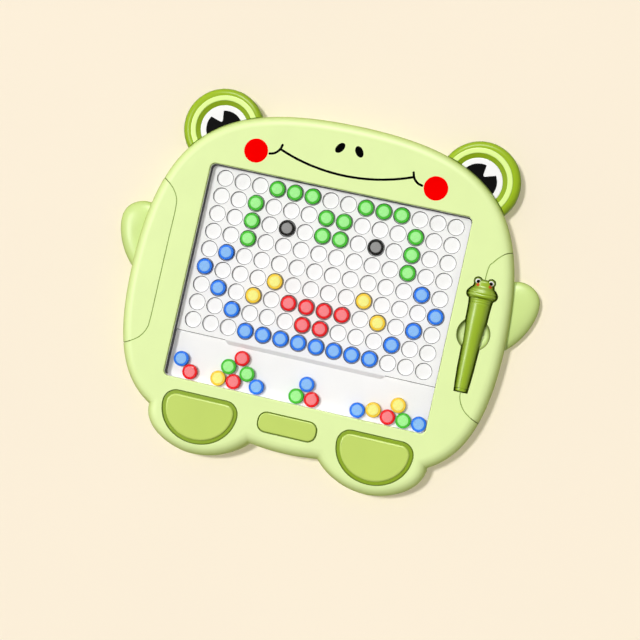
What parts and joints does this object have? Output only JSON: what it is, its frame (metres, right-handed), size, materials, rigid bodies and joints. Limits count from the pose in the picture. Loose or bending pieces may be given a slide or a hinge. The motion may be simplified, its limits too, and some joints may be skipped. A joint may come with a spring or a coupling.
{
  "type": "magnetic drawing board",
  "caption": "Frog-shaped magnetic bead drawing board with a clear window over a plate of round wells, coloured beads and a magnetic pen in a side slot.",
  "frame": {"origin": "middle of the box that holds the board, on the flat rear face that it lies on", "axes": "+X towards the pen side (the right of someone who faces the board), +Y towards the eyes (the top), +Z out of the face"},
  "size_m": [0.3006, 0.2554, 0.0284],
  "materials": {
    "body_green": "satin moulded shell, pale yellow-green",
    "rear_green": "fine matt moulded cover",
    "screw_steel": "bright zinc plate",
    "clear_screen": "clear polished sheet",
    "plate_white": "smooth white moulding",
    "olive": "smooth moulded",
    "lime": "smooth moulded",
    "eye_white": "smooth moulded",
    "black": "smooth",
    "hand_green": "satin moulded",
    "rim_olive": "satin moulded",
    "pad_green": "satin moulded",
    "pen_olive": "polished moulded",
    "magnet": "nickel plated magnet",
    "bead_green": "smooth, darker rim",
    "bead_blue": "smooth, darker rim",
    "bead_red": "smooth, darker rim",
    "bead_yellow": "smooth, darker rim",
    "bead_black": "smooth, paler middle"
  },
  "bodies": {
    "board": {"front_shell": "body_green", "rear_cover": "rear_green", "case_screw_1": "screw_steel", "case_screw_2": "screw_steel", "case_screw_3": "screw_steel", "case_screw_4": "screw_steel", "case_screw_5": "screw_steel", "case_screw_6": "screw_steel", "clear_screen": "clear_screen", "bead_plate": "plate_white", "bead_tray": "plate_white", "eye_housing_right": "olive", "eye_housing_left": "olive", "eye_ring_right": "lime", "eye_ring_left": "lime", "eyeball_right": "eye_white", "eyeball_left": "eye_white", "pupil_right": "black", "pupil_left": "black", "hand_right": "hand_green", "hand_left": "hand_green", "foot_rim_right": "rim_olive", "foot_rim_left": "rim_olive", "foot_pad_right": "pad_green", "foot_pad_left": "pad_green", "belly_plate": "pad_green"},
    "pen": {"pen_barrel": "pen_olive", "pen_head": "pen_olive", "pen_tip": "pen_olive", "pen_magnet": "magnet", "pen_eye_right": "eye_white", "pen_eye_left": "eye_white"},
    "beads_green_left_body": {"beads_green_left": "bead_green"},
    "beads_green_right_body": {"beads_green_right": "bead_green"},
    "beads_green_middle_body": {"beads_green_middle": "bead_green"},
    "beads_blue_body": {"beads_blue": "bead_blue"},
    "beads_yellow_left_body": {"beads_yellow_left": "bead_yellow"},
    "beads_yellow_right_body": {"beads_yellow_right": "bead_yellow"},
    "beads_red_body": {"beads_red": "bead_red"},
    "bead_black_left_body": {"bead_black_left": "bead_black"},
    "bead_black_right_body": {"bead_black_right": "bead_black"},
    "loose_bead_01_red_body": {"loose_bead_01_red": "bead_red"},
    "loose_bead_02_blue_body": {"loose_bead_02_blue": "bead_blue"},
    "loose_bead_03_yellow_body": {"loose_bead_03_yellow": "bead_yellow"},
    "loose_bead_04_red_body": {"loose_bead_04_red": "bead_red"},
    "loose_bead_05_green_body": {"loose_bead_05_green": "bead_green"},
    "loose_bead_06_green_body": {"loose_bead_06_green": "bead_green"},
    "loose_bead_07_blue_body": {"loose_bead_07_blue": "bead_blue"},
    "loose_bead_08_red_body": {"loose_bead_08_red": "bead_red"},
    "loose_bead_09_green_body": {"loose_bead_09_green": "bead_green"},
    "loose_bead_10_red_body": {"loose_bead_10_red": "bead_red"},
    "loose_bead_11_blue_body": {"loose_bead_11_blue": "bead_blue"},
    "loose_bead_12_blue_body": {"loose_bead_12_blue": "bead_blue"},
    "loose_bead_13_green_body": {"loose_bead_13_green": "bead_green"},
    "loose_bead_14_red_body": {"loose_bead_14_red": "bead_red"},
    "loose_bead_15_yellow_body": {"loose_bead_15_yellow": "bead_yellow"},
    "loose_bead_16_yellow_body": {"loose_bead_16_yellow": "bead_yellow"},
    "loose_bead_17_blue_body": {"loose_bead_17_blue": "bead_blue"}
  },
  "joints": [
    {"name": "pen_lift", "type": "slide", "parent": "board", "child": "pen", "axis": [0, 0, 1], "range_m": [0, 0.04]},
    {"name": "beads_green_left_lift", "type": "slide", "parent": "board", "child": "beads_green_left_body", "axis": [0, 0, 1], "range_m": [0, 0.0021]},
    {"name": "beads_green_right_lift", "type": "slide", "parent": "board", "child": "beads_green_right_body", "axis": [0, 0, 1], "range_m": [0, 0.0021]},
    {"name": "beads_green_middle_lift", "type": "slide", "parent": "board", "child": "beads_green_middle_body", "axis": [0, 0, 1], "range_m": [0, 0.0021]},
    {"name": "beads_blue_lift", "type": "slide", "parent": "board", "child": "beads_blue_body", "axis": [0, 0, 1], "range_m": [0, 0.0021]},
    {"name": "beads_yellow_left_lift", "type": "slide", "parent": "board", "child": "beads_yellow_left_body", "axis": [0, 0, 1], "range_m": [0, 0.0021]},
    {"name": "beads_yellow_right_lift", "type": "slide", "parent": "board", "child": "beads_yellow_right_body", "axis": [0, 0, 1], "range_m": [0, 0.0021]},
    {"name": "beads_red_lift", "type": "slide", "parent": "board", "child": "beads_red_body", "axis": [0, 0, 1], "range_m": [0, 0.0021]},
    {"name": "bead_black_left_lift", "type": "slide", "parent": "board", "child": "bead_black_left_body", "axis": [0, 0, 1], "range_m": [0, 0.0021]},
    {"name": "bead_black_right_lift", "type": "slide", "parent": "board", "child": "bead_black_right_body", "axis": [0, 0, 1], "range_m": [0, 0.0021]},
    {"name": "loose_bead_01_slide", "type": "slide", "parent": "board", "child": "loose_bead_01_red_body", "axis": [1, 0, 0], "range_m": [0, 0.005]},
    {"name": "loose_bead_02_slide", "type": "slide", "parent": "board", "child": "loose_bead_02_blue_body", "axis": [0, 1, 0], "range_m": [0, 0.012]},
    {"name": "loose_bead_03_slide", "type": "slide", "parent": "board", "child": "loose_bead_03_yellow_body", "axis": [-1, 0, 0], "range_m": [0, 0.004]},
    {"name": "loose_bead_04_lift", "type": "slide", "parent": "board", "child": "loose_bead_04_red_body", "axis": [0, 0, 1], "range_m": [0, 0.0021]},
    {"name": "loose_bead_05_slide", "type": "slide", "parent": "board", "child": "loose_bead_05_green_body", "axis": [-0.7071, 0.7071, 0], "range_m": [0, 0.008]},
    {"name": "loose_bead_06_lift", "type": "slide", "parent": "board", "child": "loose_bead_06_green_body", "axis": [0, 0, 1], "range_m": [0, 0.0021]},
    {"name": "loose_bead_07_slide", "type": "slide", "parent": "board", "child": "loose_bead_07_blue_body", "axis": [1, 0, 0], "range_m": [0, 0.008]},
    {"name": "loose_bead_08_lift", "type": "slide", "parent": "board", "child": "loose_bead_08_red_body", "axis": [0, 0, 1], "range_m": [0, 0.0021]},
    {"name": "loose_bead_09_slide", "type": "slide", "parent": "board", "child": "loose_bead_09_green_body", "axis": [-1, 0, 0], "range_m": [0, 0.007]},
    {"name": "loose_bead_10_slide", "type": "slide", "parent": "board", "child": "loose_bead_10_red_body", "axis": [1, 0, 0], "range_m": [0, 0.01]},
    {"name": "loose_bead_11_slide", "type": "slide", "parent": "board", "child": "loose_bead_11_blue_body", "axis": [0, 1, 0], "range_m": [0, 0.008]},
    {"name": "loose_bead_12_slide", "type": "slide", "parent": "board", "child": "loose_bead_12_blue_body", "axis": [0, 1, 0], "range_m": [0, 0.018]},
    {"name": "loose_bead_13_lift", "type": "slide", "parent": "board", "child": "loose_bead_13_green_body", "axis": [0, 0, 1], "range_m": [0, 0.0021]},
    {"name": "loose_bead_14_lift", "type": "slide", "parent": "board", "child": "loose_bead_14_red_body", "axis": [0, 0, 1], "range_m": [0, 0.0021]},
    {"name": "loose_bead_15_slide", "type": "slide", "parent": "board", "child": "loose_bead_15_yellow_body", "axis": [0, 1, 0], "range_m": [0, 0.01]},
    {"name": "loose_bead_16_slide", "type": "slide", "parent": "board", "child": "loose_bead_16_yellow_body", "axis": [0, 1, 0], "range_m": [0, 0.012]},
    {"name": "loose_bead_17_slide", "type": "slide", "parent": "board", "child": "loose_bead_17_blue_body", "axis": [-1, 0, 0], "range_m": [0, 0.009]}
  ]
}
